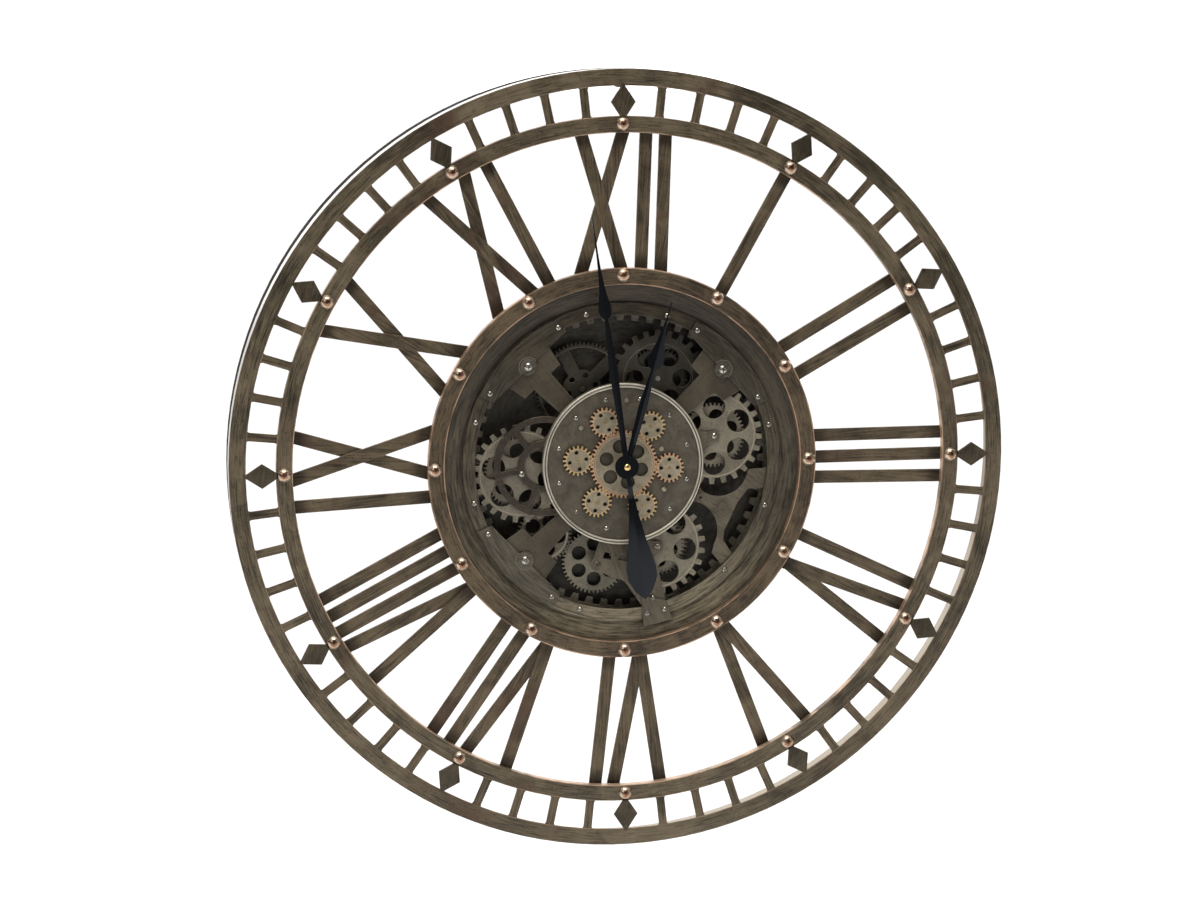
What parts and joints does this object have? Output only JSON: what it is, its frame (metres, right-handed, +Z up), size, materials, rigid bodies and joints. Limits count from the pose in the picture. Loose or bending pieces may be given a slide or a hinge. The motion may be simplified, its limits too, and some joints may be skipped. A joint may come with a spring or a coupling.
{
  "type": "wall clock",
  "caption": "Large round open-work wall clock with Roman numerals, riveted metal rings, two spade hands and a visible turning gear train in a central drum.",
  "frame": {"origin": "centre of the clock's back, on the plane of the wall it hangs on, at the middle of the movement's rear face", "axes": "+Z up to twelve o'clock, +X to the right as seen from the front, +Y into the wall; the dial faces -Y"},
  "size_m": [0.7999, 0.076, 0.8],
  "materials": {
    "bronze_sheet": "brushed antique bronze lacquer over steel sheet",
    "dark_bronze": "dark brushed antique bronze",
    "copper": "polished copper plate",
    "grey_steel": "brushed, warm grey lacquer",
    "dark_steel": "dark brushed",
    "nickel": "polished nickel",
    "brass": "satin brass",
    "black_metal": "satin black",
    "black_plastic": "fine grained",
    "cell_jacket": "printed jacket, left plain"
  },
  "bodies": {
    "frame": {"outer_ring": "bronze_sheet", "numeral_ring": "bronze_sheet", "hub_ring": "bronze_sheet", "minute_bars": "bronze_sheet", "hour_diamonds": "bronze_sheet", "ring_rivets": "copper", "numeral_01": "bronze_sheet", "numeral_02": "bronze_sheet", "numeral_03": "bronze_sheet", "numeral_04": "bronze_sheet", "numeral_05": "bronze_sheet", "numeral_06": "bronze_sheet", "numeral_07": "bronze_sheet", "numeral_08": "bronze_sheet", "numeral_09": "bronze_sheet", "numeral_10": "bronze_sheet", "numeral_11": "bronze_sheet", "numeral_12": "bronze_sheet", "drum": "dark_bronze", "dish": "dark_bronze", "tooth_ring": "grey_steel", "back_cover": "dark_steel", "chord_plates": "dark_bronze", "bridge_arms": "grey_steel", "web_plate": "grey_steel", "axle_bracket": "grey_steel", "bottom_bridge": "grey_steel", "left_cage": "dark_bronze", "centre_disc": "dark_steel", "bezel_ring": "nickel", "disc_pins": "brass", "screws": "nickel", "gear_axles": "grey_steel", "hanging_eye": "black_metal", "movement_case": "black_plastic", "gear_motor": "grey_steel", "battery_box": "black_plastic", "aa_cells": "cell_jacket"},
    "minute_hand": {"minute_hand": "black_metal", "hand_nut": "brass"},
    "hour_hand": {"hour_hand": "black_metal"},
    "setting_wheel": {"setting_wheel": "black_plastic"},
    "drive_wheel": {"drive_wheel": "grey_steel", "sun_gear": "grey_steel"},
    "battery_door": {"battery_door": "black_plastic"},
    "power_switch": {"power_switch": "nickel"},
    "motor_pinion": {"motor_pinion": "brass"},
    "planet_1": {"planet_1": "brass"},
    "planet_2": {"planet_2": "brass"},
    "planet_3": {"planet_3": "brass"},
    "planet_4": {"planet_4": "brass"},
    "planet_5": {"planet_5": "brass"},
    "planet_6": {"planet_6": "brass"},
    "gear_right": {"gear_right": "grey_steel"},
    "gear_lower_right": {"gear_lower_right": "grey_steel"},
    "gear_left": {"gear_left": "grey_steel"},
    "gear_upper_right": {"gear_upper_right": "grey_steel"},
    "gear_upper_left": {"gear_upper_left": "dark_steel"},
    "gear_bottom": {"gear_bottom": "grey_steel"},
    "gear_bottom_left": {"gear_bottom_left": "grey_steel"}
  },
  "joints": [
    {"name": "minute_hand_turn", "type": "hinge", "parent": "frame", "child": "minute_hand", "pos_m": [0, 0, 0], "axis": [0, 1, 0], "continuous": true},
    {"name": "hour_hand_turn", "type": "hinge", "parent": "frame", "child": "hour_hand", "pos_m": [0, 0, 0], "axis": [0, 1, 0], "continuous": true},
    {"name": "setting_wheel_turn", "type": "hinge", "parent": "frame", "child": "setting_wheel", "pos_m": [0.014, 0, 0.014], "axis": [0, 1, 0], "continuous": true},
    {"name": "drive_turn", "type": "hinge", "parent": "frame", "child": "drive_wheel", "pos_m": [0, 0, 0], "axis": [0, 1, 0], "continuous": true},
    {"name": "planet_1_turn", "type": "hinge", "parent": "frame", "child": "planet_1", "pos_m": [0.02798, 0, 0.03851], "axis": [0, 1, 0], "continuous": true},
    {"name": "planet_2_turn", "type": "hinge", "parent": "frame", "child": "planet_2", "pos_m": [-0.01936, 0, 0.04348], "axis": [0, 1, 0], "continuous": true},
    {"name": "planet_3_turn", "type": "hinge", "parent": "frame", "child": "planet_3", "pos_m": [-0.04734, 0, 0.00498], "axis": [0, 1, 0], "continuous": true},
    {"name": "planet_4_turn", "type": "hinge", "parent": "frame", "child": "planet_4", "pos_m": [-0.02798, 0, -0.03851], "axis": [0, 1, 0], "continuous": true},
    {"name": "planet_5_turn", "type": "hinge", "parent": "frame", "child": "planet_5", "pos_m": [0.01936, 0, -0.04348], "axis": [0, 1, 0], "continuous": true},
    {"name": "planet_6_turn", "type": "hinge", "parent": "frame", "child": "planet_6", "pos_m": [0.04734, 0, -0.00498], "axis": [0, 1, 0], "continuous": true},
    {"name": "gear_right_turn", "type": "hinge", "parent": "frame", "child": "gear_right", "pos_m": [0.09615, 0, 0.02522], "axis": [0, 1, 0], "continuous": true},
    {"name": "gear_lower_right_turn", "type": "hinge", "parent": "frame", "child": "gear_lower_right", "pos_m": [0.03658, 0, -0.08789], "axis": [0, 1, 0], "continuous": true},
    {"name": "gear_left_turn", "type": "hinge", "parent": "frame", "child": "gear_left", "pos_m": [-0.10399, 0, -0.00809], "axis": [0, 1, 0], "continuous": true},
    {"name": "gear_upper_right_turn", "type": "hinge", "parent": "frame", "child": "gear_upper_right", "pos_m": [0.03966, 0, 0.08453], "axis": [0, 1, 0], "continuous": true},
    {"name": "gear_upper_left_turn", "type": "hinge", "parent": "frame", "child": "gear_upper_left", "pos_m": [-0.03814, 0, 0.07484], "axis": [0, 1, 0], "continuous": true},
    {"name": "gear_bottom_turn", "type": "hinge", "parent": "frame", "child": "gear_bottom", "pos_m": [-0.02705, 0, -0.10464], "axis": [0, 1, 0], "continuous": true},
    {"name": "gear_bottom_left_turn", "type": "hinge", "parent": "frame", "child": "gear_bottom_left", "pos_m": [-0.07888, 0, -0.07543], "axis": [0, 1, 0], "continuous": true},
    {"name": "motor_pinion_turn", "type": "hinge", "parent": "frame", "child": "motor_pinion", "pos_m": [0.07105, 0, -0.03313], "axis": [0, 1, 0], "continuous": true},
    {"name": "battery_door_slide", "type": "slide", "parent": "frame", "child": "battery_door", "axis": [0, 0, -1], "range_m": [0, 0.06]},
    {"name": "power_switch_slide", "type": "slide", "parent": "frame", "child": "power_switch", "axis": [0, 0, 1], "range_m": [0, 0.004]}
  ],
  "couplings": [
    {"joint": "hour_hand_turn", "follows": "minute_hand_turn", "ratio": 0.083333},
    {"joint": "setting_wheel_turn", "follows": "minute_hand_turn", "ratio": -2},
    {"joint": "planet_1_turn", "follows": "drive_turn", "ratio": -2.4},
    {"joint": "planet_2_turn", "follows": "drive_turn", "ratio": -2.4},
    {"joint": "planet_3_turn", "follows": "drive_turn", "ratio": -2.4},
    {"joint": "planet_4_turn", "follows": "drive_turn", "ratio": -2.4},
    {"joint": "planet_5_turn", "follows": "drive_turn", "ratio": -2.4},
    {"joint": "planet_6_turn", "follows": "drive_turn", "ratio": -2.4},
    {"joint": "gear_right_turn", "follows": "drive_turn", "ratio": -2.087},
    {"joint": "gear_lower_right_turn", "follows": "drive_turn", "ratio": -2.4},
    {"joint": "gear_left_turn", "follows": "drive_turn", "ratio": -1.8113},
    {"joint": "gear_upper_left_turn", "follows": "drive_turn", "ratio": -0.76471},
    {"joint": "gear_upper_right_turn", "follows": "drive_turn", "ratio": 1.1818},
    {"joint": "gear_bottom_turn", "follows": "drive_turn", "ratio": 2.5043},
    {"joint": "gear_bottom_left_turn", "follows": "drive_turn", "ratio": -2.9538},
    {"joint": "motor_pinion_turn", "follows": "drive_turn", "ratio": -6}
  ]
}
